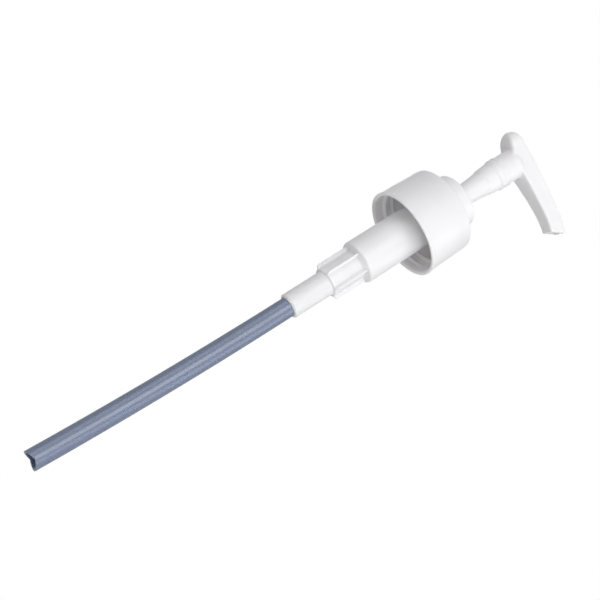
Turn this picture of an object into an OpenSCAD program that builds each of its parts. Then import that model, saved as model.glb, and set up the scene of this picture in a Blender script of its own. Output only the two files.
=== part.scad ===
// Screw-on hand pump for gear oil bottles: push head with a curved spout, sprung plunger,
// two ball valves and a dip tube.
// Z points up the pump. The origin is on the pump's axis, on the gasket face that seals the bottle.

/* [Closure] */
// Outside diameter of the screw closure at its open rim
closure_d = 42.2; // [42:0.2:46]
// Outside diameter of the screw closure at its top edge
closure_top_d = 40.4; // [40:0.2:42]
// Depth of the skirt below the sealing face
skirt_depth = 18.7; // [15:0.1:24]
// Pitch of the bottle thread
neck_pitch = 4.23; // [3:0.01:5]
// Crest diameter of the bottle thread inside the closure
neck_crest_d = 36.2; // [35.4:0.1:37]

/* [Collar] */
// Diameter of the lock collar above the closure
collar_d = 25.6; // [24:0.2:30]
// Height of the collar's rim above the sealing face
collar_top = 13.8; // [11:0.1:16]

/* [Housing] */
// Outside diameter of the pump cylinder
cylinder_d = 20.3; // [19.6:0.1:21]
// Bore of the pump cylinder
bore_d = 16.6; // [16:0.1:17]
// Depth of the cylinder's lower shoulder below the sealing face
shoulder_depth = 44.7; // [40:0.1:50]
// Diameter over the ribs of the valve chamber
rib_d = 17.5; // [16:0.1:19]
// Number of ribs round the valve chamber
rib_count = 6; // [4:1:10]
// Outside diameter of the dip tube socket
socket_d = 11.5; // [11:0.1:13]

/* [Dip tube] */
// Outside diameter of the dip tube
tube_d = 9.1; // [8:0.1:9.4]
// Wall of the dip tube
tube_wall = 0.9; // [0.7:0.1:1.2]
// Depth of the dip tube's tip below the sealing face
tube_depth = 211.5; // [120:1:300]
// Depth of the notch cut in the tip
notch_depth = 2; // [0:0.1:4]
// Bend of the tube over its free length, in degrees
tube_bend = 6.5; // [1:0.5:10]
// Direction of the bend, turned from straight behind the spout, in degrees
tube_bend_turn = 55; // [-90:5:90]

/* [Head] */
// Height of the head's top above the sealing face
head_top = 56.6; // [56:0.1:60]
// Reach of the spout from the pump's axis to the top of its mouth
spout_reach = 40.6; // [38:0.1:46]
// Slant of the mouth's face, from upright, in degrees
mouth_slant = 34; // [26:1:36]
// Droop of the mouth's bore below level, in degrees
spout_droop = 16; // [12:1:18]
// Bore of the spout's mouth
mouth_d = 5.4; // [4:0.1:6]

/* [Hidden] */
$fn = 96;

white = "white";
cloudy = "gainsboro";
run = 0.05;            // radial clearance of a running fit
free = 0.2;            // clearance of the closure on the collar and flange

// Stack on the sealing face, upwards
gasket_h = 1.6;
flange_top = gasket_h + 1.5;
lid_under = flange_top + free;
lid_top = 5;
closure_wall = 1.5;
closure_edge = 1.1;
rim_lip = 0.2;         // step of the closure's thicker rim
flange_r = 17;
neck_r = 9.5;          // housing neck that the collar is pressed over
neck_top = 9;
collar_under = lid_top + 0.15;
collar_skirt_r = 11.1;
collar_edge = 0.9;
mouth_r = 7.6;         // collar mouth, at the root of its lock thread
bore_r = bore_d / 2;
guide_end = 3;         // lower end of the collar's inner tube, which stops the plunger

// Housing, downwards
cyl_r = cylinder_d / 2;
shoulder_z = -shoulder_depth;
bore_floor = shoulder_z + 1.5;
core_r = 6.9;          // valve chamber, outside
chamber_r = 5.6;       // valve chamber, inside
cage_z = shoulder_z - 9.8;
ball_well_r = 4.4;
seat_z = cage_z - 8;
seat_r = 2.3;
tube_stop = seat_z - 1.5;
rib_end = shoulder_z - 17.5;
rib_t = 1.3;
rib_corner = 1.6;      // round of each rib's lower corner
vent_r = 0.6;          // hole that lets air into the bottle
vent_z = -6;
socket_end = shoulder_z - 38.3;
tube_r = tube_d / 2;
bend_start = socket_end + 0.5;
tube_free = tube_depth + bend_start;
tube_bend_r = tube_free / (tube_bend * PI / 180);

// Plunger
stem_r = 3.5;
stem_top = 30;
stem_flange = 1.2;
stem_flange_r = 7.9;
bead_r = 3.8;          // bead on the stem that snaps into the head
bead_z = 27.1;
bead_h = 1;
stem_end = guide_end - 0.05 - stem_flange;
lost_motion = 1.3;     // slide of the piston on the pin, which opens the outlet ports
hub_top = stem_end - lost_motion;
hub_end = hub_top - 9;
pin_r = 3.1;
pin_bore_r = 1.3;
pin_flange_r = 6.6;    // flange that the spring pushes on
pilot_r = 3.9;         // end of the pin inside the spring
port_r = 0.8;
pin_flange_end = hub_end - 1.4;
plug_r = 2.3;
outlet_seat_z = 24.5;
outlet_seat_r = 1.7;
outlet_well_r = 2.4;

// Balls, resting on the rims of their seats
inlet_ball_r = 3.2;
outlet_ball_r = 2;
gap = 0.02;
inlet_ball_z = seat_z + sqrt(pow(inlet_ball_r, 2) - pow(seat_r, 2)) + gap;
outlet_ball_z = outlet_seat_z + sqrt(pow(outlet_ball_r, 2) - pow(outlet_seat_r, 2)) + gap;

// Spring
wire_r = 0.55;
coil_r = 4.7;
coils = 8;
cage_h = 1.3;
cage_bore_r = 3.7;
arm_w = 1.2;           // crossed arms over the inlet ball
spring_low = cage_z + cage_h;

// Head and skirt
skirt_end = 13;
step_z = 29.6;
neck_z = 37;
head_neck_r = 7.05;
head_under = head_top - 8.3;
lock_pitch = 2.4;
back_x = -13.9;        // back of the head
mouth_face_h = 7.7;      // height of the spout's mouth face
head_half_w = 6.1;
mouth_half_w = 4.1;
channel_r = 1.8;       // channel up the neck
cross_r = 1.6;         // channel along the spout
slot_w = 1.2;          // slots that let liquid past the outlet ball
channel_z = head_top - 4.1;
mouth_dir = [cos(spout_droop), -sin(spout_droop)];
mouth_up = [sin(mouth_slant), cos(mouth_slant)];
mouth_top = [spout_reach, head_top - 2.7];
mouth_low = mouth_top - mouth_face_h * mouth_up;
mouth_mid = (mouth_top + mouth_low) / 2;
mouth_bore_len = 6.5;
mouth_start = mouth_mid - mouth_bore_len * mouth_dir;

// Points of an arc, from angle a0 to a1
function arc(cx, cy, r, a0, a1, n = 12) =
    [for (i = [0 : n]) let (a = a0 + (a1 - a0) * i / n) [cx + r * cos(a), cy + r * sin(a)]];

// A curve with one control point, for long soft lines
function bend(p, q, s, n = 10) =
    [for (i = [0 : n]) let (t = i / n) (1 - t) * (1 - t) * p + 2 * t * (1 - t) * q + t * t * s];

// A ridge that winds round Z: base and crest radii, half widths at both, and tapered ends
module helix_ridge(base, crest, base_w, crest_w, pitch, turns, z0, steps = 36) {
    n = round(turns * steps);
    run_in = steps / 6;
    function share(i) = min(1, i / run_in, (n - i) / run_in);
    points = [for (i = [0 : n]) let (a = 360 * i / steps, z = z0 + pitch * i / steps, k = share(i),
                                     r = base + (crest - base) * (0.15 + 0.85 * k))
        each [for (p = [[base, -base_w], [r, -crest_w], [r, crest_w], [base, base_w]])
            [p.x * cos(a), p.x * sin(a), z + p.y]]];
    sides = crest > base ? [3, 2, 1, 0] : [0, 1, 2, 3];
    faces = concat(
        [sides],
        [for (i = [0 : n - 1], j = [0 : 3]) let (a = sides[j], b = sides[(j + 1) % 4])
            [4 * i + b, 4 * i + a, 4 * i + 4 + a, 4 * i + 4 + b]],
        [[for (j = [3 : -1 : 0]) 4 * n + sides[j]]]);
    polyhedron(points, faces);
}

// A plain ring, from low to high
module ring(outer, inner, low, high) {
    rotate_extrude() translate([inner, low]) square([outer - inner, high - low]);
}

// Outline of the head from the side: X along the spout, Y up
module head_side() {
    back = [back_x, head_top - 2.6];
    polygon(concat(
        bend([8, head_under], [30, head_under + 1.6], mouth_low),
        bend(mouth_top, [34, head_top + 0.6], [12, head_top]),
        bend([back_x + 4.4, head_top], [back_x + 0.4, head_top - 0.1], back, 6),
        bend(back - [0, 0.3], [back_x + 0.7, head_under + 2.6], [-6.3, head_under + 1.2], 8),
        [[-5.5, head_under]]));
}

// Outline of the head from above
module head_plan() {
    polygon(concat(
        [[spout_reach + 2, -mouth_half_w + 0.15], [spout_reach + 2, mouth_half_w - 0.15]],
        bend([20, mouth_half_w + 0.75], [8, head_half_w], [0, head_half_w]),
        arc(back_x + head_half_w, 0, head_half_w, 90, 270, 24),
        bend([0, -head_half_w], [8, -head_half_w], [20, -mouth_half_w - 0.75])));
}

// Head, spout and skirt, moulded in one
module actuator() color(white) difference() {
    union() {
        intersection() {
            rotate([90, 0, 0]) linear_extrude(30, center = true) head_side();
            translate([0, 0, head_under - 12]) linear_extrude(30) head_plan();
        }
        rotate_extrude() polygon([[0, skirt_end], [4.2, skirt_end], [4.45, skirt_end + 0.4],
            [5.9, step_z - 0.1], [6.3, step_z + 0.3], [6.9, neck_z - 0.6], [head_neck_r, neck_z],
            [head_neck_r, head_under + 0.4], [5.6, head_under + 2.6], [0, head_under + 2.6]]);
        rotate(200) helix_ridge(6.6, 7.45, 0.85, 0.3, lock_pitch, 2.75, neck_z - 1.17);
    }
    translate([0, 0, skirt_end - 1]) cylinder(r = stem_r + run, h = stem_top + gap - skirt_end + 1);
    translate([0, 0, bead_z - 0.1]) ring(bead_r + 0.15, 3, 0, bead_h + 0.2);
    cylinder(r = channel_r, h = channel_z + 0.5);
    for (a = [0, 90]) rotate(a) translate([-outlet_well_r, -slot_w / 2, stem_top - 1])
        cube([2 * outlet_well_r, slot_w, 3]);
    translate([0, 0, channel_z]) rotate([0, 90 + atan2(channel_z - mouth_start.y, mouth_start.x), 0])
        cylinder(r = cross_r, h = norm(mouth_start - [0, channel_z]) + 1);
    translate([mouth_start.x, 0, mouth_start.y]) rotate([0, 90 + spout_droop, 0])
        cylinder(r = mouth_d / 2, h = mouth_bore_len + 2);
}

// Hollow rod that carries the head, with its stop flange and the seat of the outlet valve
module stem() color(white) difference() {
    union() {
        translate([0, 0, stem_end]) cylinder(r = stem_r, h = stem_top - stem_end);
        translate([0, 0, stem_end]) cylinder(r = stem_flange_r, h = stem_flange);
        ring(bead_r, 3, bead_z, bead_z + bead_h);
    }
    translate([0, 0, stem_end - 1]) cylinder(r = plug_r, h = 9);
    cylinder(r = outlet_seat_r, h = outlet_seat_z + 1);
    translate([0, 0, outlet_seat_z])
        cylinder(r1 = outlet_seat_r, r2 = outlet_well_r, h = outlet_well_r - outlet_seat_r);
    translate([0, 0, outlet_seat_z + outlet_well_r - outlet_seat_r]) cylinder(r = outlet_well_r, h = 10);
    for (a = [45 : 90 : 315]) rotate(a) translate([stem_flange_r - 1.5, -1, stem_end - 1])
        cube([3, 2, 4]);
}

// Ball of the outlet valve
module outlet_ball() color("silver") translate([0, 0, outlet_ball_z]) sphere(r = outlet_ball_r);

// Pin pressed into the stem: the piston slides on it and the spring pushes on its flange
module valve_pin() color(cloudy) difference() {
    rotate_extrude() polygon([[0, pin_flange_end - 2.5], [pilot_r - 0.7, pin_flange_end - 2.5],
        [pilot_r, pin_flange_end - 1.8], [pilot_r, pin_flange_end], [pin_flange_r, pin_flange_end],
        [pin_flange_r, hub_end - 0.3], [pin_flange_r - 0.3, hub_end], [pin_r, hub_end], [pin_r, stem_end],
        [plug_r, stem_end], [plug_r, stem_end + 7.2], [plug_r - 0.4, stem_end + 7.8], [0, stem_end + 7.8]]);
    translate([0, 0, hub_end + 0.1]) cylinder(r = pin_bore_r, h = 30);
    for (a = [0 : 90 : 270]) rotate(a) translate([0, 0, hub_end + 1]) rotate([0, 90, 0])
        cylinder(r = port_r, h = 6);
}

// Piston with a lip at each end of its outer wall
module piston() color(cloudy) rotate_extrude() polygon([
    [pin_r + run, hub_end + gap], [4.9, hub_end + gap], [5.2, hub_end + 0.4], [5.2, hub_end + 4],
    [6.9, hub_end + 4], [7.5, hub_end + 0.3], [7.9, hub_end + 0.3], [bore_r - run, hub_end + 1.2],
    [7.8, hub_end + 2.6], [7.8, hub_top - 2.8], [bore_r - run, hub_top - 1.4], [7.9, hub_top - 0.5],
    [7.5, hub_top - 0.5], [6.9, hub_top - 3.2], [5, hub_top - 3.2], [5, hub_top], [pin_r + run, hub_top]]);

// Collar that holds the closure on the housing and takes the head's lock thread
module collar() color(white) union() {
    rotate_extrude() polygon(concat(
        [[mouth_r, guide_end], [bore_r, guide_end], [bore_r, neck_top], [neck_r, neck_top],
         [neck_r, flange_top], [collar_skirt_r, flange_top], [collar_skirt_r, collar_under],
         [collar_d / 2, collar_under]],
        arc(collar_d / 2 - collar_edge, collar_top - collar_edge, collar_edge, 0, 90, 6),
        [[mouth_r + 0.6, collar_top], [mouth_r, collar_top - 0.6]]));
    helix_ridge(mouth_r + 0.5, mouth_r - 0.35, 0.8, 0.3, lock_pitch, 1.2, neck_top - 0.2);
}

// Screw closure, with the bottle thread inside its skirt
module closure() color(white) union() {
    rim_r = closure_d / 2;
    top_r = closure_top_d / 2;
    rotate_extrude() polygon(concat(
        [[collar_skirt_r + free, lid_under], [top_r - 1.3, lid_under],
         [rim_r - closure_wall, -skirt_depth + 0.8],
         [rim_r - 1.1, -skirt_depth], [rim_r - 0.25, -skirt_depth], [rim_r, -skirt_depth + 0.3],
         [rim_r, -skirt_depth + 0.9], [rim_r - rim_lip, -skirt_depth + 1.8]],
        arc(top_r - closure_edge, lid_top - closure_edge, closure_edge, 0, 90, 8),
        [[collar_skirt_r + free, lid_top]]));
    helix_ridge(rim_r - 1.35, neck_crest_d / 2, 1.35, 0.5, neck_pitch, 2, -skirt_depth + 4.6, 48);
}

// Soft gasket between the housing's flange and the bottle
module gasket() color("whitesmoke") ring(flange_r + 0.3, cyl_r + 0.15, 0, gasket_h);

// Housing: cylinder, flange and neck, ribbed valve chamber and dip tube socket
module housing() color(white) difference() {
    union() {
        rotate_extrude() polygon([[0, neck_top], [neck_r, neck_top], [neck_r, flange_top],
            [flange_r, flange_top], [flange_r, gasket_h], [cyl_r, gasket_h], [cyl_r, shoulder_z + 0.6],
            [cyl_r - 0.5, shoulder_z], [core_r + 0.8, shoulder_z - 1.5], [core_r, shoulder_z - 2],
            [core_r, rib_end + 0.3], [core_r - 0.3, rib_end], [socket_d / 2, rib_end],
            [socket_d / 2, socket_end + 0.4], [socket_d / 2 - 0.4, socket_end], [0, socket_end]]);
        intersection() {
            rotate_extrude() polygon(concat([[5, shoulder_z], [rib_d / 2, shoulder_z]],
                arc(rib_d / 2 - rib_corner, rib_end + rib_corner - 1, rib_corner, 0, -90, 6),
                [[5, rib_end - 1]]));
            for (i = [0 : rib_count - 1]) rotate(360 / rib_count * i)
                translate([0, -rib_t / 2, rib_end - 2]) cube([12, rib_t, shoulder_z - rib_end + 2]);
        }
    }
    translate([0, 0, bore_floor]) cylinder(r = bore_r, h = 80);
    translate([0, 0, bore_floor - 2]) cylinder(r1 = chamber_r, r2 = bore_r - 0.4, h = 2.01);
    translate([0, 0, cage_z]) cylinder(r = chamber_r, h = 20);
    translate([0, 0, seat_z + 2.1]) cylinder(r = ball_well_r, h = 20);
    translate([0, 0, seat_z]) cylinder(r1 = seat_r, r2 = ball_well_r, h = 2.11);
    translate([0, 0, tube_stop - 1]) cylinder(r = seat_r, h = 10);
    translate([0, 0, socket_end - 1]) cylinder(r = tube_r, h = tube_stop - socket_end + 1);
    translate([0, 0, vent_z]) rotate([0, -90, 0]) cylinder(r = vent_r, h = 20);
}

// Return spring, one wire swept along its coils, with closed ends
module spring() {
    sides = 8;
    steps = 24;
    n = coils * steps;
    rise = hub_end - 1.4 - spring_low - 2 * wire_r - 0.1;
    function lift(i) = let (t = i / steps, dead = 2 * wire_r + 0.05, live = coils - 2)
        t < 1 ? t * dead : t > coils - 1 ? rise - (coils - t) * dead
        : dead + (rise - 2 * dead) * (t - 1) / live;
    points = [for (i = [0 : n]) let (a = 360 * i / steps) each [for (j = [0 : sides - 1])
        let (b = 360 * (j + 0.5) / sides, r = coil_r + wire_r * cos(b))
        [r * cos(a), r * sin(a), spring_low + 0.05 + wire_r + lift(i) + wire_r * sin(b)]]];
    faces = concat(
        [[for (j = [sides - 1 : -1 : 0]) j]],
        [for (i = [0 : n - 1], j = [0 : sides - 1]) let (k = (j + 1) % sides)
            [sides * i + j, sides * i + k, sides * i + sides + k, sides * i + sides + j]],
        [[for (j = [0 : sides - 1]) sides * n + j]]);
    color("silver") polyhedron(points, faces);
}

// Spring seat that also keeps the inlet ball in its well
module ball_cage() color(cloudy) translate([0, 0, cage_z]) union() {
    ring(chamber_r, cage_bore_r, 0, cage_h);
    difference() {
        union() for (a = [0, 90]) rotate(a) translate([-4, -arm_w / 2, 0]) cube([8, arm_w, cage_h]);
        translate([0, 0, -1]) cylinder(r = 0.9, h = 4);
    }
}

// Ball of the inlet valve
module inlet_ball() color("silver") translate([0, 0, inlet_ball_z]) sphere(r = inlet_ball_r);

// Moves its children to the tube's tip, along the tube's bend
module at_tip() {
    rotate(tube_bend_turn) translate([-tube_bend_r, 0, bend_start]) rotate([0, tube_bend, 0])
        translate([tube_bend_r, 0, 0]) rotate(-tube_bend_turn) children();
}

// Dip tube, straight in its socket and then slightly bent, with a notch across its tip
module dip_tube() color("lightsteelblue") union() {
    ring(tube_r, tube_r - tube_wall, socket_end, tube_stop);
    difference() {
        rotate(tube_bend_turn) translate([-tube_bend_r, 0, bend_start]) rotate([-90, 0, 0])
            rotate_extrude(angle = tube_bend) translate([tube_bend_r, 0]) difference() {
                circle(r = tube_r - 0.02);
                circle(r = tube_r - tube_wall + 0.02);
            }
        at_tip() rotate([90, 0, 0]) linear_extrude(tube_d + 2, center = true)
            polygon([[-tube_r - 1, -2], [-tube_r - 1, 0.2], [0, notch_depth], [tube_r + 1, 0.2],
                [tube_r + 1, -2]]);
    }
}

actuator();
stem();
outlet_ball();
valve_pin();
piston();
collar();
closure();
gasket();
housing();
spring();
ball_cage();
inlet_ball();
dip_tube();
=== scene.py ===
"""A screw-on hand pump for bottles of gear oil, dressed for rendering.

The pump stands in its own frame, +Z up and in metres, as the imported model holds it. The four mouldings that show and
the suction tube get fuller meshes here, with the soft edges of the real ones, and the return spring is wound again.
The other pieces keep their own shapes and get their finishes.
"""
import logging
import math
from dataclasses import dataclass, field
from enum import Enum

import bmesh
import bpy
from mathutils import Matrix, Vector


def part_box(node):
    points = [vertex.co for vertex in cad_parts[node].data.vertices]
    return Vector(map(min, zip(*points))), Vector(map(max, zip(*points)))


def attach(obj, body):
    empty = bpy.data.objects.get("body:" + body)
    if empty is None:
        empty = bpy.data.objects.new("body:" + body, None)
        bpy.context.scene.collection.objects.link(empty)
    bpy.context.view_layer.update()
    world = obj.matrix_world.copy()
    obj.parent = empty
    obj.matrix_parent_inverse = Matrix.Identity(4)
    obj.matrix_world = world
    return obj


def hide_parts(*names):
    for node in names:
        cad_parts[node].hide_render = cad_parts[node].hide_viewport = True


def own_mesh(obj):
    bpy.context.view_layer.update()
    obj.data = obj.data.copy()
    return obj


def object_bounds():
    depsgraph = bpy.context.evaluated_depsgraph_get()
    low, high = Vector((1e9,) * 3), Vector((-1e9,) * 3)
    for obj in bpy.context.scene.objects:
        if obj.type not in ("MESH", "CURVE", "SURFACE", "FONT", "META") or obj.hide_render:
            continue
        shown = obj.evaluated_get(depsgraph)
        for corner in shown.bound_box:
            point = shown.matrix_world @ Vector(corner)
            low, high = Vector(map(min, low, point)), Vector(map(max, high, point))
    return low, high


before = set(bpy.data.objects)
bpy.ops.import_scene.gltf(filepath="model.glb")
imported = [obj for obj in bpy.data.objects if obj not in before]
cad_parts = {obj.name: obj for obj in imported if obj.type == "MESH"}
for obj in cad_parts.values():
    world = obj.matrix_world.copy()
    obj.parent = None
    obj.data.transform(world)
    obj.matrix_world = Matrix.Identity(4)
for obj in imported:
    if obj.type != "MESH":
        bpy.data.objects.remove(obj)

log = logging.getLogger("hand_pump")

MM = 0.001
CAD_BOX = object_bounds()
BOXES = {name: tuple(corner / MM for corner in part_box(name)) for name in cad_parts}


class Body(Enum):
    """The bodies of the pump that the remade pieces ride on."""

    PUMP = "pump_body"
    CLOSURE = "closure_ring"
    HEAD = "head"


class Slot(Enum):
    """The material slots of the record."""

    WHITE = "white_plastic"
    NATURAL = "natural_plastic"
    TUBE = "tube_plastic"
    FOAM = "gasket_foam"
    WIRE = "spring_steel"
    BALL = "ball_steel"


def linear(sheet_colour: str) -> tuple[float, float, float, float]:
    """Turns an sRGB colour to linear.

    Args:
        sheet_colour: six hex digits after a hash, such as "#E9E9EC".

    Returns:
        Linear red, green and blue, with an alpha of 1.
    """
    parts = [int(sheet_colour[i:i + 2], 16) / 255 for i in (1, 3, 5)]
    red, green, blue = (p / 12.92 if p <= 0.04045 else ((p + 0.055) / 1.055) ** 2.4 for p in parts)
    return (red, green, blue, 1.0)


def add_node(
    tree: bpy.types.NodeTree, kind: str, settings: dict | None = None, links: dict | None = None
) -> bpy.types.Node:
    """Adds a node with its settings and its incoming links.

    Args:
        tree: the tree that gets the node.
        kind: the node's type, such as "ShaderNodeBump".
        settings: values by name. A name is a property of the node, or one of its inputs.
        links: output sockets by the name of the input that they feed.

    Returns:
        The new node.
    """
    node = tree.nodes.new(kind)
    for name, value in (settings or {}).items():
        if name in node.inputs:
            node.inputs[name].default_value = value
        else:
            setattr(node, name, value)
    for name, socket in (links or {}).items():
        tree.links.new(socket, node.inputs[name])
    return node


# Finishes ------------------------------------------------------------------------------------------------------


@dataclass(frozen=True)
class Finish:
    """What every finish shares: a colour that drifts a little, and a fine surface.

    The drift is the uneven thickness and shrinkage of a moulding; the grain is what the tool or die left on it.
    """

    name: str
    colour: str
    drift_colour: str
    roughness: float
    ior: float
    drift_mm: float = 14.0
    grain_mm: float = 0.35
    grain_depth_mm: float = 0.004

    def shader(self) -> tuple[bpy.types.Material, bpy.types.Node, bpy.types.Node]:
        """Makes the material with its colour drift, roughness drift and grain.

        Returns:
            The material, its shader node and its coordinate node.
        """
        material = bpy.data.materials.new(self.name)
        material.use_nodes = True
        tree = material.node_tree
        shader = tree.nodes["Principled BSDF"]
        shader.inputs["IOR"].default_value = self.ior
        place = add_node(tree, "ShaderNodeTexCoord")
        drift = add_node(
            tree, "ShaderNodeTexNoise",
            {"Scale": 1 / (self.drift_mm * MM), "Detail": 2.0, "Roughness": 0.45},
            {"Vector": place.outputs["Object"]},
        )
        blend = add_node(
            tree, "ShaderNodeMix",
            {"data_type": "RGBA"},
            {"Factor": drift.outputs["Fac"]},
        )
        blend.inputs[6].default_value = linear(self.colour)
        blend.inputs[7].default_value = linear(self.drift_colour)
        tree.links.new(blend.outputs[2], shader.inputs["Base Color"])
        sheen = add_node(
            tree, "ShaderNodeMapRange",
            {"From Min": 0.3, "From Max": 0.7, "To Min": self.roughness - 0.04, "To Max": self.roughness + 0.05},
            {"Value": drift.outputs["Fac"]},
        )
        tree.links.new(sheen.outputs["Result"], shader.inputs["Roughness"])
        grain = add_node(
            tree, "ShaderNodeTexNoise",
            {"Scale": 1 / (self.grain_mm * MM), "Detail": 3.0, "Roughness": 0.5},
            {"Vector": place.outputs["Object"]},
        )
        bump = add_node(
            tree, "ShaderNodeBump",
            {"Strength": 0.6, "Distance": self.grain_depth_mm * MM},
            {"Height": grain.outputs["Fac"]},
        )
        tree.links.new(bump.outputs["Normal"], shader.inputs["Normal"])
        return material, shader, place

    def make(self) -> bpy.types.Material:
        """Makes the finished material."""
        return self.shader()[0]


@dataclass(frozen=True)
class MouldedPolypropylene(Finish):
    """White polypropylene, injection moulded in a lightly blasted tool.

    Titanium white pigment makes it opaque, with a little light passing under the skin, so that thin edges glow and
    shadows stay soft. The blasted tool gives it a satin sheen with a wide, weak highlight.
    """

    scatter: float = 0.6
    scatter_mm: float = 2.6

    def make(self) -> bpy.types.Material:
        """Makes the white moulding's material, with light passing under its skin."""
        material, shader, _ = self.shader()
        shader.subsurface_method = "RANDOM_WALK"
        shader.inputs["Subsurface Weight"].default_value = self.scatter
        shader.inputs["Subsurface Radius"].default_value = (1.0, 0.95, 0.9)
        shader.inputs["Subsurface Scale"].default_value = self.scatter_mm * MM
        shader.inputs["Specular IOR Level"].default_value = 0.42
        return material


@dataclass(frozen=True)
class NaturalPolyethylene(Finish):
    """Polyethylene without pigment, injection moulded.

    It is cloudy like wax, because its crystals scatter the light that enters it.
    """

    haze: float = 0.45
    scatter_mm: float = 2.0

    def make(self) -> bpy.types.Material:
        """Makes the waxy material."""
        material, shader, _ = self.shader()
        shader.inputs["Subsurface Weight"].default_value = self.haze
        shader.inputs["Subsurface Radius"].default_value = (1.0, 1.0, 0.95)
        shader.inputs["Subsurface Scale"].default_value = self.scatter_mm * MM
        return material


@dataclass(frozen=True)
class ExtrudedTubing(Finish):
    """Smoke-tinted polyethylene tube, extruded.

    The die draws faint lines along the tube, and the haze in the wall softens what is seen through it. The tint
    reads as blue-grey, with painted shade that deepens it towards the edges, standing in for the light lost where the
    eye looks through more of the wall.
    """

    haze: float = 0.35
    scatter_mm: float = 1.2
    gloss: float = 0.7
    gloss_roughness: float = 0.2
    line_mm: float = 0.9
    line_depth_mm: float = 0.0012
    # colour of the painted shade at the tube's edges, standing in for light lost through more of the wall
    painted_side_shade_colour: str = "#66718A"

    def make(self) -> bpy.types.Material:
        """Makes the hazy tube's material, with its draw lines and painted shade at its edges."""
        material, shader, place = self.shader()
        tree = material.node_tree
        stretch = add_node(
            tree, "ShaderNodeMapping", {"Scale": (1.0, 1.0, 0.01)}, {"Vector": place.outputs["Object"]}
        )
        lines = add_node(
            tree, "ShaderNodeTexNoise",
            {"Scale": 1 / (self.line_mm * MM), "Detail": 2.0, "Roughness": 0.5},
            {"Vector": stretch.outputs["Vector"]},
        )
        bump = add_node(
            tree, "ShaderNodeBump", {"Strength": 0.5, "Distance": self.line_depth_mm * MM}, {"Height": lines.outputs["Fac"]}
        )
        tree.links.new(bump.outputs["Normal"], shader.inputs["Normal"])
        # Painted shade: the colour darkens towards the tube's edges as they turn from the eye, standing in for light
        # lost through more of the wall.
        facing = add_node(tree, "ShaderNodeLayerWeight", {"Blend": 0.42})
        drift = shader.inputs["Base Color"].links[0].from_socket
        side_shade_mix = add_node(tree, "ShaderNodeMix", {"data_type": "RGBA"}, {"Factor": facing.outputs["Facing"]})
        tree.links.new(drift, side_shade_mix.inputs[6])
        side_shade_mix.inputs[7].default_value = linear(self.painted_side_shade_colour)
        tree.links.new(side_shade_mix.outputs[2], shader.inputs["Base Color"])
        shader.inputs["Subsurface Weight"].default_value = self.haze
        shader.inputs["Subsurface Radius"].default_value = (0.9, 1.0, 1.1)
        shader.inputs["Subsurface Scale"].default_value = self.scatter_mm * MM
        shader.inputs["Coat Weight"].default_value = self.gloss
        shader.inputs["Coat Roughness"].default_value = self.gloss_roughness
        return material


@dataclass(frozen=True)
class ClosedCellFoam(Finish):
    """Polyethylene foam, die-cut from sheet.

    Its closed cells show as a fine pebbled face with no shine.
    """

    cell_mm: float = 0.4
    cell_depth_mm: float = 0.05

    def make(self) -> bpy.types.Material:
        """Makes the pebbled foam's material."""
        material, shader, place = self.shader()
        tree = material.node_tree
        cells = add_node(
            tree, "ShaderNodeTexVoronoi",
            {"Scale": 1 / (self.cell_mm * MM), "feature": "SMOOTH_F1"},
            {"Vector": place.outputs["Object"]},
        )
        bump = add_node(
            tree, "ShaderNodeBump", {"Strength": 0.7, "Distance": self.cell_depth_mm * MM}, {"Height": cells.outputs["Distance"]}
        )
        tree.links.new(bump.outputs["Normal"], shader.inputs["Normal"])
        return material


@dataclass(frozen=True)
class Stainless(Finish):
    """Stainless steel, drawn to wire or ground to a ball.

    Drawing leaves the wire softly bright along its length, and grinding and tumbling leave the ball nearly a mirror.
    """

    def make(self) -> bpy.types.Material:
        """Makes the steel's material."""
        material, shader, _ = self.shader()
        shader.inputs["Metallic"].default_value = 1.0
        return material


@dataclass(frozen=True)
class PaintedBoard(Finish):
    """Smooth board painted matt white, which the studio uses as a table."""


FINISHES: dict[Slot, Finish] = {
    Slot.WHITE: MouldedPolypropylene("moulded_white_polypropylene", "#F1F0F1", "#EBEAEC", 0.34, 1.49),
    Slot.NATURAL: NaturalPolyethylene("moulded_natural_polyethylene", "#E4E6E2", "#DADDD8", 0.4, 1.51),
    Slot.TUBE: ExtrudedTubing("extruded_smoke_polyethylene", "#7A86A0", "#737F98", 0.3, 1.51, grain_mm=1.0),
    Slot.FOAM: ClosedCellFoam("die_cut_polyethylene_foam", "#E2E2DE", "#D8D8D4", 0.8, 1.3),
    Slot.WIRE: Stainless("drawn_stainless_wire", "#A9A9AB", "#9A9A9E", 0.32, 1.5, grain_mm=0.2),
    Slot.BALL: Stainless("ground_stainless_ball", "#BFBFC1", "#B4B4B8", 0.12, 1.5, grain_mm=0.2),
}
BOARD = PaintedBoard("painted_board", "#DCDCDB", "#D7D7D6", 0.7, 1.45, drift_mm=300.0, grain_mm=2.0)


# Mesh making ---------------------------------------------------------------------------------------------------


def fillet(corners: list[tuple[float, float, float]], steps: int = 5, closed: bool = True) -> list[Vector]:
    """Rounds the corners of an outline.

    Args:
        corners: across, up and the corner's radius, all in millimetres. A radius of 0 keeps the corner sharp.
        steps: stretches in each rounded corner.
        closed: whether the last corner joins the first. If not, the two ends stay as they are.

    Returns:
        The points of the rounded outline, in millimetres.
    """
    points: list[Vector] = []
    count = len(corners)
    for i, (across, up, radius) in enumerate(corners):
        here = Vector((across, up))
        at_end = not closed and i in (0, count - 1)
        if radius <= 0 or at_end:
            points.append(here)
            continue
        before = Vector(corners[i - 1][:2]) - here
        after = Vector(corners[(i + 1) % count][:2]) - here
        half = before.angle(after) / 2
        reach = min(radius / math.tan(half), before.length * 0.49, after.length * 0.49)
        start, end = here + before.normalized() * reach, here + after.normalized() * reach
        for k in range(steps + 1):
            t = k / steps
            points.append((1 - t) ** 2 * start + 2 * t * (1 - t) * here + t * t * end)
    return points


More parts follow.
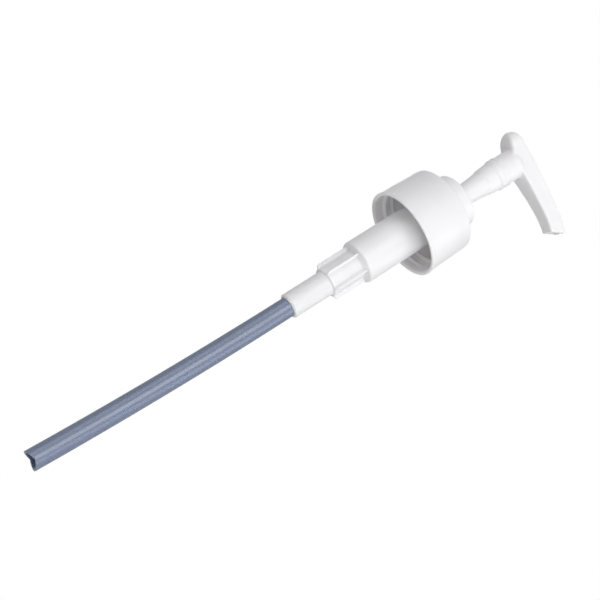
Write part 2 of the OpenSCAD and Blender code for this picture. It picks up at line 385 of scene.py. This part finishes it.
def revolve(outline: list[Vector], around: int = 144) -> bmesh.types.BMesh:
    """Turns a closed outline about the Z axis into a ring-shaped solid.

    Args:
        outline: radius and height of each point in millimetres, anticlockwise, none on the axis.
        around: points in each circle.

    Returns:
        The solid, in metres.
    """
    bm = bmesh.new()
    rings = []
    for point in outline:
        turn = [2 * math.pi * k / around for k in range(around)]
        rings.append([bm.verts.new(
            (point.x * math.cos(a) * MM, point.x * math.sin(a) * MM, point.y * MM)) for a in turn])
    for i, ring in enumerate(rings):
        above = rings[(i + 1) % len(rings)]
        for k in range(around):
            n = (k + 1) % around
            bm.faces.new((ring[k], ring[n], above[n], above[k]))
    bmesh.ops.recalc_face_normals(bm, faces=bm.faces)
    return bm


def skin(rings: list[list[Vector]], close_ends: bool = True) -> bmesh.types.BMesh:
    """Joins rings of the same number of points into one solid.

    Args:
        rings: the rings in order, in millimetres.
        close_ends: whether the first and last ring are filled in.

    Returns:
        The solid, in metres.
    """
    bm = bmesh.new()
    made = [[bm.verts.new(p * MM) for p in ring] for ring in rings]
    size = len(made[0])
    for low, high in zip(made, made[1:]):
        for k in range(size):
            n = (k + 1) % size
            bm.faces.new((low[k], low[n], high[n], high[k]))
    if close_ends:
        bm.faces.new(made[0])
        bm.faces.new(made[-1])
    bmesh.ops.recalc_face_normals(bm, faces=bm.faces)
    return bm


def thread(
    root: float, crest: float, half_width: float, pitch: float, turns: float, start: float, from_degrees: float = 0.0
) -> bmesh.types.BMesh:
    """Winds a rounded thread ridge round the Z axis, with ends that run out.

    Args:
        root: radius of the wall that the ridge stands on, in mm. The ridge starts a little behind it.
        crest: radius of the ridge's top, smaller than the root for an inner thread.
        half_width: half the ridge's width at its root.
        pitch: rise in one turn.
        turns: number of turns.
        start: height of the ridge's lower end.
        from_degrees: where round the axis the ridge's lower end is.

    Returns:
        The ridge as a closed solid, in metres.
    """
    per_turn, across = 72, 9
    count = round(turns * per_turn)
    run_out = per_turn / 5
    behind = 0.3 if crest > root else -0.3
    rings = []
    for i in range(count + 1):
        angle, height = math.radians(from_degrees) + 2 * math.pi * i / per_turn, start + pitch * i / per_turn
        share = min(1.0, i / run_out, (count - i) / run_out)
        share = 0.03 + 0.97 * share * share * (3 - 2 * share)
        ring = []
        for k in range(across):
            side = -1 + 2 * k / (across - 1)
            rise = (1 - abs(side) ** 2.2) * share
            radius = root - behind * 0.2 + (crest - root + behind * 0.2) * rise
            ring.append(Vector((radius * math.cos(angle), radius * math.sin(angle), height + side * half_width)))
        for side in (0.8, -0.8):
            radius = root - behind
            ring.append(Vector((radius * math.cos(angle), radius * math.sin(angle), height + side * half_width)))
        rings.append(ring)
    return skin(rings)


def scratch(bm: bmesh.types.BMesh, name: str) -> bpy.types.Object:
    """Puts a mesh in the scene as a plain object.

    Args:
        bm: the mesh, which is freed.
        name: the object's name.

    Returns:
        The object.
    """
    mesh = bpy.data.meshes.new(name)
    bm.to_mesh(mesh)
    bm.free()
    made = bpy.data.objects.new(name, mesh)
    bpy.context.scene.collection.objects.link(made)
    return made


def bake_modifiers(piece: bpy.types.Object) -> None:
    """Turns a piece's modifiers into its mesh.

    Args:
        piece: the piece, which keeps its name.
    """
    bpy.context.view_layer.update()
    graph = bpy.context.evaluated_depsgraph_get()
    mesh = bpy.data.meshes.new_from_object(piece.evaluated_get(graph))
    piece.modifiers.clear()
    old, piece.data = piece.data, mesh
    bpy.data.meshes.remove(old)


def combine(piece: bpy.types.Object, tool: bpy.types.Object, how: str) -> None:
    """Joins a second solid to a piece, or cuts it away, and drops the second solid.

    Args:
        piece: the piece that is kept.
        tool: the solid that is used up.
        how: "UNION", "DIFFERENCE" or "INTERSECT".
    """
    step = piece.modifiers.new("combine", "BOOLEAN")
    step.operation, step.object, step.solver = how, tool, "EXACT"
    bake_modifiers(piece)
    bpy.data.objects.remove(tool)


def smooth_shade(piece: bpy.types.Object, sharp_degrees: float = 38.0) -> None:
    """Shades a piece smooth, apart from edges sharper than an angle.

    Args:
        piece: the piece.
        sharp_degrees: an edge bent more than this stays sharp.
    """
    for face in piece.data.polygons:
        face.use_smooth = True
    piece.data.set_sharp_from_angle(angle=math.radians(sharp_degrees))


def settle(piece: bpy.types.Object, body: Body, slot: Slot, finish: bpy.types.Material, *nodes: str) -> None:
    """Gives a piece its finish, its body and the nodes that it stands for.

    Args:
        piece: the piece.
        body: the body that carries it.
        slot: its material slot; not used.
        finish: its material.
        nodes: the nodes that it replaces.
    """
    piece.data.materials.clear()
    piece.data.materials.append(finish)
    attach(piece, body.value)
    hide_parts(*nodes)
    log.info("%s: %d faces on %s", piece.name, len(piece.data.polygons), body.value)


# Sub-assemblies ------------------------------------------------------------------------------------------------


def arc_points(start: Vector, pull: Vector, end: Vector, steps: int = 12) -> list[Vector]:
    """Draws a soft line from one point to another, drawn towards a third.

    Args:
        start: its first point.
        pull: the point that it is drawn towards.
        end: its last point.
        steps: the stretches in the line.

    Returns:
        The line's points.
    """
    share = [k / steps for k in range(steps + 1)]
    return [(1 - t) ** 2 * start + 2 * t * (1 - t) * pull + t * t * end for t in share]


@dataclass
class PressHead:
    """The head that the hand presses, with its spout, lock thread and skirt. Sizes in millimetres."""

    top: float = BOXES["actuator"][1].z
    back: float = BOXES["actuator"][0].x
    reach: float = BOXES["actuator"][1].x
    height: float = 8.3
    half_width: float = 6.1
    mouth_half_width: float = 4.1
    mouth_height: float = 7.7
    mouth_bore: float = 2.7
    mouth_slant: float = 34.0
    droop: float = 16.0
    neck_radius: float = 7.05
    socket_radius: float = 3.55
    channel: float = 1.95
    thread_pitch: float = 2.4
    voxel: float = 0.26
    name: str = "press_head"

    @property
    def under(self) -> float:
        """The height of the head's underside beside the neck."""
        return self.top - self.height

    def mouth(self) -> tuple[Vector, Vector, Vector]:
        """Gives the middle of the mouth's face, the way that its bore points, and the way up along the face."""
        droop, slant = math.radians(self.droop), math.radians(self.mouth_slant)
        out, up = Vector((math.cos(droop), 0, -math.sin(droop))), Vector((math.sin(slant), 0, math.cos(slant)))
        return Vector((self.reach, 0, self.top - 2.7)) - up * self.mouth_height / 2, out, up

    def side(self) -> list[Vector]:
        """Draws the head's outline from the side: across is along the spout, up is up."""
        middle, _, up = self.mouth()
        high, low = middle + up * self.mouth_height / 2, middle - up * self.mouth_height / 2
        high, low = Vector((high.x, high.z)), Vector((low.x, low.z))
        top, under, back = self.top, self.under, self.back
        heel = Vector((back, top - 2.6))
        return [
            *arc_points(Vector((8, under)), Vector((30, under + 1.6)), low, 24),
            *arc_points(high, Vector((34, top + 0.6)), Vector((12, top)), 24),
            *arc_points(Vector((back + 4.4, top)), Vector((back + 0.4, top - 0.1)), heel),
            *arc_points(heel - Vector((0, 0.3)), Vector((back + 0.7, under + 2.6)), Vector((-6.3, under + 1.2))),
            Vector((-5.5, under)),
        ]

    def plan(self) -> list[Vector]:
        """Draws the head's outline from above, with its half-round back."""
        wide, narrow = self.half_width, self.mouth_half_width
        one_side = arc_points(Vector((20, narrow + 0.75)), Vector((8, wide)), Vector((0, wide)))
        turn = [math.pi * (0.5 + k / 32) for k in range(33)]
        heel = [Vector((self.back + wide + wide * math.cos(a), wide * math.sin(a))) for a in turn]
        end = [Vector((self.reach + 2, -narrow + 0.15)), Vector((self.reach + 2, narrow - 0.15))]
        return [*end, *one_side, *heel, *[Vector((p.x, -p.y)) for p in reversed(one_side)]]

    def bar(self) -> bpy.types.Object:
        """Makes the head's bar, the shape that both outlines leave."""
        side, plan = self.side(), self.plan()
        bar = scratch(skin([[Vector((p.x, y, p.y)) for p in side] for y in (-12, 12)]), "bar")
        tool = scratch(skin([[Vector((p.x, p.y, z)) for p in plan] for z in (self.under - 9, self.top + 4)]), "plan")
        combine(bar, tool, "INTERSECT")
        return bar

    def skirt(self) -> bmesh.types.BMesh:
        """Makes the hollow skirt and neck that run down into the collar."""
        under = self.under
        return revolve(fillet([
            (self.socket_radius, 13.4, 0.0), (self.socket_radius + 0.4, 13.0, 0.0), (4.3, 13.0, 0.2),
            (4.5, 13.5, 0.4), (5.92, 29.35, 0.15), (6.35, 29.95, 0.25), (6.9, 36.6, 0.6),
            (self.neck_radius, 38.0, 1.0), (self.neck_radius, under - 1.8, 2.0),
            (self.neck_radius + 0.3, under + 0.6, 0.8), (5.7, under + 3.2, 1.5), (4.5, under + 4.4, 0.5),
            (self.channel, under + 4.4, 0.0), (self.channel, 30.1, 0.0), (self.socket_radius, 30.1, 0.0),
        ], steps=4))

    def mouth_cut(self) -> bmesh.types.BMesh:
        """Makes the shape of the mouth's bore."""
        middle, out, _ = self.mouth()
        bm = revolve(fillet([
            (0.02, -6.5, 0.0), (self.mouth_bore, -6.5, 0.0), (self.mouth_bore, 4.0, 0.0), (0.02, 4.0, 0.0),
        ]), around=64)
        turn = Vector((0, 0, 1)).rotation_difference(out).to_matrix().to_4x4()
        bmesh.ops.transform(bm, matrix=Matrix.Translation(middle * MM) @ turn, verts=bm.verts)
        return bm

    def ease(self, head: bpy.types.Object) -> None:
        """Rounds the bar's edges, most of all under the heel and the spout, and blends the bar into the neck.

        Args:
            head: the head, with an even skin.
        """
        groups = {name: head.vertex_groups.new(name=name) for name in ("bar", "belly", "heel", "joint")}
        for vert in head.data.vertices:
            x, _, z = vert.co / MM
            low = min(1.0, max(0.0, (self.top - 2.2 - z) / 2.5)) * min(1.0, max(0.0, (z - self.under + 2.5) / 1.5))
            near = max(0.0, 1 - abs(z - self.under - 0.4) / 3.6) if abs(x) < 12.5 else 0.0
            share = {
                "bar": min(1.0, max(0.0, (z - self.under + 2.5) / 2.0)),
                "belly": low * min(1.0, max(0.0, (x - 9) / 4)),
                "heel": low * min(1.0, max(0.0, (-4.5 - x) / 3)),
                "joint": min(1.0, near * 1.7),
            }
            for name, weight in share.items():
                if weight > 0:
                    groups[name].add([vert.index], weight, "REPLACE")
        for name, rounds in (("bar", 14), ("belly", 34), ("heel", 150), ("joint", 30), ("", 2)):
            step = head.modifiers.new("ease", "SMOOTH")
            step.factor, step.iterations, step.vertex_group = 0.5, rounds, name
        bake_modifiers(head)

    def build(self, finish: bpy.types.Material) -> None:
        """Makes the head as one moulding.

        The bar and the skirt are joined and skinned at an even fineness, the skin is eased, and the crisp parts come
        last: the lock thread and the mouth's bore.

        Args:
            finish: the head's material.
        """
        head = scratch(self.skirt(), self.name)
        combine(head, self.bar(), "UNION")
        even = head.modifiers.new("even", "REMESH")
        even.mode, even.voxel_size = "VOXEL", self.voxel * MM
        bake_modifiers(head)
        self.ease(head)
        ridge = thread(self.neck_radius - 0.12, 7.4, 0.72, self.thread_pitch, 2.75, 35.83, from_degrees=200)
        combine(head, scratch(ridge, "lock_thread"), "UNION")
        combine(head, scratch(self.mouth_cut(), "mouth"), "DIFFERENCE")
        smooth_shade(head, 42.0)
        settle(head, Body.HEAD, Slot.WHITE, finish, "actuator")


@dataclass
class LockCollar:
    """The collar over the closure, with the thread that locks the head down. Sizes in millimetres."""

    radius: float = 12.8
    top: float = 13.8
    under: float = 5.15
    mouth: float = 7.6
    name: str = "lock_collar"

    def build(self, finish: bpy.types.Material) -> None:
        """Makes the collar.

        Args:
            finish: the collar's material.
        """
        collar = scratch(revolve(fillet([
            (self.mouth, 3.0, 0.1), (8.28, 3.0, 0.2), (8.28, 9.05, 0.0), (9.5, 9.05, 0.0), (9.5, 3.15, 0.0),
            (11.1, 3.15, 0.15), (11.1, self.under, 0.15), (self.radius, self.under, 0.35),
            (self.radius, self.top - 0.1, 1.0), (self.mouth + 0.6, self.top, 0.35), (self.mouth, self.top - 0.7, 0.3),
        ])), self.name)
        combine(collar, scratch(thread(self.mouth, self.mouth - 0.35, 0.7, 2.4, 1.2, 8.8), "collar_thread"), "UNION")
        smooth_shade(collar)
        settle(collar, Body.PUMP, Slot.WHITE, finish, "collar")


@dataclass
class ScrewClosure:
    """The wide cap that screws on the bottle, with the bottle's thread inside. Sizes in millimetres."""

    rim_radius: float = 21.1
    top_radius: float = 20.2
    top: float = 5.0
    rim: float = -18.7
    wall: float = 1.5
    hole: float = 11.3
    pitch: float = 4.23
    crest: float = 18.1
    name: str = "screw_closure"

    def build(self, finish: bpy.types.Material) -> None:
        """Makes the closure.

        Args:
            finish: the closure's material.
        """
        lid = 3.3
        closure = scratch(revolve(fillet([
            (self.hole, lid, 0.15), (self.top_radius - 1.3, lid, 0.8),
            (self.rim_radius - self.wall, self.rim + 0.9, 0.5),
            (self.rim_radius - 1.1, self.rim, 0.25), (self.rim_radius, self.rim, 0.45),
            (self.rim_radius, self.rim + 1.2, 0.5), (self.rim_radius - 0.2, self.rim + 2.0, 0.5),
            (self.top_radius, self.top, 1.15), (self.hole, self.top, 0.3),
        ]), around=192), self.name)
        ridge = thread(self.rim_radius - self.wall, self.crest, 1.3, self.pitch, 2.0, self.rim + 4.6)
        combine(closure, scratch(ridge, "bottle_thread"), "UNION")
        smooth_shade(closure)
        settle(closure, Body.CLOSURE, Slot.WHITE, finish, "closure")


@dataclass
class Housing:
    """The pump's cylinder, with its flange, ribbed valve chamber and tube socket. Sizes in millimetres."""

    cylinder: float = 10.15
    bore: float = 8.3
    shoulder: float = -44.7
    chamber: float = 6.9
    rib_radius: float = 8.75
    rib_end: float = -62.2
    rib_thickness: float = 1.2
    ribs: int = 6
    socket: float = 5.75
    socket_end: float = -83.0
    tube: float = 4.55
    name: str = "pump_housing"

    def shell(self) -> bmesh.types.BMesh:
        """Makes the turned body, hollow from its neck to the tube's socket."""
        return revolve(fillet([
            (self.bore, 9.0, 0.2), (self.bore, self.shoulder + 1.5, 0.0), (7.9, self.shoulder + 1.5, 0.0),
            (5.6, self.shoulder - 0.5, 0.0), (5.6, -54.5, 0.0), (4.4, -54.5, 0.0), (4.4, -60.4, 0.0),
            (2.3, -62.5, 0.0), (2.3, -64.0, 0.0), (self.tube, -64.0, 0.0), (self.tube, self.socket_end, 0.0),
            (self.socket - 0.75, self.socket_end, 0.15), (self.socket, self.socket_end + 0.75, 0.2),
            (self.socket, self.rib_end - 0.1, 0.35), (self.chamber, self.rib_end, 0.4),
            (self.chamber, self.shoulder - 1.4, 0.4), (self.chamber + 0.9, self.shoulder - 0.85, 0.5),
            (self.cylinder - 0.3, self.shoulder + 0.1, 0.4), (self.cylinder, self.shoulder + 0.9, 0.5),
            (self.cylinder, 1.6, 0.3), (17.0, 1.6, 0.2), (17.0, 3.1, 0.2), (9.5, 3.1, 0.2), (9.5, 9.0, 0.3),
        ], steps=4))

    def rib(self, turn: float) -> bmesh.types.BMesh:
        """Makes one rib, round at its outer edge and its lower corner.

        Args:
            turn: the rib's place round the chamber, in radians.

        Returns:
            The rib.
        """
        root, low, high = self.chamber - 0.6, self.rib_end + 0.12, self.shoulder + 0.1
        corner, draft = 1.45, 0.2
        half = self.rib_thickness / 2
        heights = [low + corner * (1 - math.cos(math.pi / 2 * k / 12)) for k in range(13)] + [high]
        spin = Matrix.Rotation(turn, 3, "Z")
        rings = []
        for height in heights:
            fall = max(0.0, 1 - (height - low) / corner)
            crest = self.rib_radius - corner * (1 - math.sqrt(1 - fall * fall))
            profile = [(root, half), (crest - 0.35, half - draft), (crest - 0.12, half - draft - 0.09),
                       (crest - 0.03, half - draft - 0.22), (crest, half - draft - 0.38)]
            outline = [(x, -y) for x, y in profile] + [(x, y) for x, y in reversed(profile)]
            rings.append([spin @ Vector((x, y, height)) for x, y in outline])
        return skin(rings)

    def build(self, finish: bpy.types.Material) -> None:
        """Makes the housing.

        Args:
            finish: the housing's material.
        """
        housing = scratch(self.shell(), self.name)
        for k in range(self.ribs):
            combine(housing, scratch(self.rib(2 * math.pi * k / self.ribs), f"rib_{k}"), "UNION")
        smooth_shade(housing)
        settle(housing, Body.PUMP, Slot.WHITE, finish, "housing")


@dataclass
class DipTube:
    """The tube that reaches the bottle's floor, slightly bent, with a notch across its tip. Sizes in millimetres."""

    radius: float = 4.55
    wall: float = 0.9
    stop: float = -64.0
    bend_start: float = -82.5
    tip_depth: float = -211.5
    bend: float = 6.5
    bend_turn: float = 55.0
    notch: float = 2.0
    around: int = 72
    name: str = "suction_tube"

    def place(self, along: float) -> tuple[Vector, Matrix]:
        """Gives a place on the tube's middle line and how the tube leans there.

        Args:
            along: the distance down the middle line from the tube's upper end.

        Returns:
            The place, and the turn from upright.
        """
        straight = self.stop - self.bend_start
        if along <= straight:
            return Vector((0, 0, self.stop - along)), Matrix.Identity(3)
        radius = (self.bend_start - self.tip_depth) / math.radians(self.bend)
        angle = (along - straight) / radius
        turn = Matrix.Rotation(math.radians(self.bend_turn), 3, "Z")
        place = turn @ Vector((radius * (math.cos(angle) - 1), 0, -radius * math.sin(angle)))
        lean = turn @ Matrix.Rotation(angle, 3, "Y") @ turn.inverted()
        return place + Vector((0, 0, self.bend_start)), lean

    def build(self, finish: bpy.types.Material) -> None:
        """Makes the tube from its outer wall, its eased tip and its inner wall.

        Args:
            finish: the tube's material.
        """
        length = self.stop - self.tip_depth
        tail = 8.0
        outer = [length * k / 90 for k in range(91)]
        walls = [(self.radius, a) for a in outer if a < length - 0.3]
        walls += [(self.radius, length - 0.14), (self.radius - 0.12, length)]
        walls += [(self.radius - self.wall + 0.12, length), (self.radius - self.wall, length - 0.14)]
        walls += [(self.radius - self.wall, a) for a in reversed(outer) if a < length - 0.3]
        rings = []
        for radius, along in walls:
            ring = []
            for k in range(self.around):
                a = 2 * math.pi * k / self.around
                cut = self.notch - (self.notch - 0.2) * abs(radius * math.cos(a)) / (self.radius + 1)
                near = max(0.0, along - (length - tail)) / tail
                place, lean = self.place(along - cut * near)
                ring.append(place + lean @ Vector((radius * math.cos(a), radius * math.sin(a), 0)))
            rings.append(ring)
        rings.append(rings[0])
        bm = skin(rings, close_ends=False)
        bmesh.ops.remove_doubles(bm, verts=bm.verts, dist=1e-7)
        bmesh.ops.recalc_face_normals(bm, faces=bm.faces)
        tube = scratch(bm, self.name)
        smooth_shade(tube)
        settle(tube, Body.PUMP, Slot.TUBE, finish, "dip_tube")


@dataclass
class ReturnSpring:
    """The spring under the plunger, one wire with closed ends.

    Sizes in millimetres.
    """

    low: float = BOXES["spring"][0].z
    high: float = BOXES["spring"][1].z
    coil_radius: float = 4.7
    wire_radius: float = 0.52
    coils: int = 8
    top_gap: float = 0.15
    coil_gap: float = 0.03
    stroke: float = 22.0
    name: str = "return_spring"

    def build(self, finish: bpy.types.Material) -> None:
        """Winds the spring.

        Args:
            finish: the wire's material.
        """
        per_turn, around = 40, 12
        low, high = self.low + self.wire_radius, self.high - self.wire_radius - self.top_gap
        dead = 2 * self.wire_radius + self.coil_gap
        rings = []
        for i in range(self.coils * per_turn + 1):
            turn = i / per_turn
            if turn < 1:
                height = low + dead * turn
            elif turn > self.coils - 1:
                height = high - dead * (self.coils - turn)
            else:
                height = low + dead + (high - low - 2 * dead) * (turn - 1) / (self.coils - 2)
            spin = Matrix.Rotation(2 * math.pi * turn, 3, "Z")
            ring = []
            for k in range(around):
                a = 2 * math.pi * k / around
                across = self.coil_radius + self.wire_radius * math.cos(a)
                ring.append(spin @ Vector((across, 0, self.wire_radius * math.sin(a))) + Vector((0, 0, height)))
            rings.append(ring)
        spring = scratch(skin(rings), self.name)
        smooth_shade(spring, 60.0)
        settle(spring, Body.PUMP, Slot.WIRE, finish, "spring")
        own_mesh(spring)


@dataclass
class OwnShapes:
    """The pieces that keep their own shapes and only get a finish."""

    slots: dict[str, Slot] = field(default_factory=lambda: {
        "actuator": Slot.WHITE, "collar": Slot.WHITE, "closure": Slot.WHITE, "housing": Slot.WHITE,
        "stem": Slot.WHITE, "valve_pin": Slot.NATURAL, "piston": Slot.NATURAL, "ball_cage": Slot.NATURAL,
        "gasket": Slot.FOAM, "dip_tube": Slot.TUBE, "spring": Slot.WIRE, "outlet_ball": Slot.BALL,
        "inlet_ball": Slot.BALL,
    })

    def dress(self, finishes: dict[Slot, bpy.types.Material]) -> None:
        """Gives each node its finish.

        Args:
            finishes: the materials by slot.
        """
        for node, slot in self.slots.items():
            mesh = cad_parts[node].data
            mesh.materials.clear()
            mesh.materials.append(finishes[slot])
            log.info("%s: %s", node, finishes[slot].name)


# Studio --------------------------------------------------------------------------------------------------------


@dataclass
class Studio:
    """A white room with a table, five soft lights and the camera. Sizes in metres."""

    # each light's name, place, side and power in watts
    lamps: tuple[tuple[str, tuple[float, float, float], float, float], ...] = (
        ("front", (-0.1, -1.15, 0.22), 0.7, 4.2),
        ("right", (0.85, -0.5, 0.45), 0.7, 2.2),
        ("low", (0.55, -0.65, -0.24), 0.35, 2.7),
        ("left", (-0.95, -0.55, 0.3), 0.7, 1.6),
        ("back", (0.1, 0.9, 0.6), 0.8, 2.0),
    )
    aim: tuple[float, float, float] = (0.0, 0.0, -0.03)
    glow: float = 0.43

    camera_place: tuple[float, float, float] = (-0.06935, -0.52268, -0.2726)
    camera_turn: float = -7.587
    camera_rise: float = 20.401
    camera_roll: float = 57.517
    lens_mm: float = 78.0
    table_drop: float = 0.12
    table_size: float = 3.0

    def camera(self) -> None:
        """Makes the camera, which looks up at the pump from below its closure."""
        data = bpy.data.cameras.new("camera")
        data.lens, data.sensor_width = self.lens_mm, 36.0
        data.clip_start, data.clip_end = 0.01, 50.0
        camera = bpy.data.objects.new("camera", data)
        bpy.context.scene.collection.objects.link(camera)
        level = Matrix.Rotation(math.radians(self.camera_turn), 4, "Z") @ Matrix.Rotation(math.pi / 2, 4, "X")
        rise = Matrix.Rotation(math.radians(self.camera_rise), 4, "X")
        roll = Matrix.Rotation(math.radians(self.camera_roll), 4, "Z")
        camera.matrix_world = Matrix.Translation(self.camera_place) @ level @ rise @ roll
        bpy.context.scene.camera = camera

    def lamp(self, name: str, place: Vector, size: float, watts: float, aim: Vector) -> None:
        """Makes one square soft light.

        Args:
            name: the light's name.
            place: where it hangs.
            size: the length of its side.
            watts: its power.
            aim: the point that it faces.
        """
        data = bpy.data.lights.new(name, "AREA")
        data.shape, data.size, data.energy = "SQUARE", size, watts
        lamp = bpy.data.objects.new(name, data)
        bpy.context.scene.collection.objects.link(lamp)
        lamp.location = place
        lamp.rotation_mode = "QUATERNION"
        lamp.rotation_quaternion = (aim - place).to_track_quat("-Z", "Y")

    def room(self) -> None:
        """Makes the white surroundings: bright to look at, and dimmer as a light."""
        world = bpy.data.worlds.new("white_room")
        bpy.context.scene.world = world
        world.use_nodes = True
        tree = world.node_tree
        tree.nodes.clear()
        seen = add_node(tree, "ShaderNodeBackground", {"Color": (1.0, 1.0, 1.0, 1.0), "Strength": 1.0})
        glow = add_node(tree, "ShaderNodeBackground", {"Color": (0.985, 0.985, 1.0, 1.0), "Strength": self.glow})
        path = add_node(tree, "ShaderNodeLightPath")
        mix = add_node(tree, "ShaderNodeMixShader", None, {"Fac": path.outputs["Is Camera Ray"]})
        tree.links.new(glow.outputs["Background"], mix.inputs[1])
        tree.links.new(seen.outputs["Background"], mix.inputs[2])
        add_node(tree, "ShaderNodeOutputWorld", None, {"Surface": mix.outputs["Shader"]})

    def table(self) -> None:
        """Makes the table, a square board under the tube's tip."""
        lowest = CAD_BOX[0].z - self.table_drop
        bm = bmesh.new()
        bmesh.ops.create_grid(bm, x_segments=8, y_segments=8, size=self.table_size / 2)
        for vert in bm.verts:
            vert.co.z = lowest
        table = scratch(bm, "table")
        table.data.materials.append(BOARD.make())

    def build(self) -> None:
        """Makes the room, the table, the lights and the camera."""
        self.room()
        self.table()
        for name, place, size, watts in self.lamps:
            self.lamp(name, Vector(place), size, watts, Vector(self.aim))
        self.camera()
        bpy.context.scene.view_settings.view_transform = "Standard"
        log.info("studio: %d lights, a table and the camera", len(self.lamps))


def main() -> None:
    """Builds the studio and every sub-assembly."""
    logging.basicConfig(level=logging.INFO, format="%(name)s %(message)s")
    Studio().build()
    finishes = {slot: finish.make() for slot, finish in FINISHES.items()}
    OwnShapes().dress(finishes)
    white = finishes[Slot.WHITE]
    for sub_assembly in (PressHead(), LockCollar(), ScrewClosure(), Housing()):
        sub_assembly.build(white)
    DipTube().build(finishes[Slot.TUBE])
    ReturnSpring().build(finishes[Slot.WIRE])


if __name__ == "__main__":
    main()
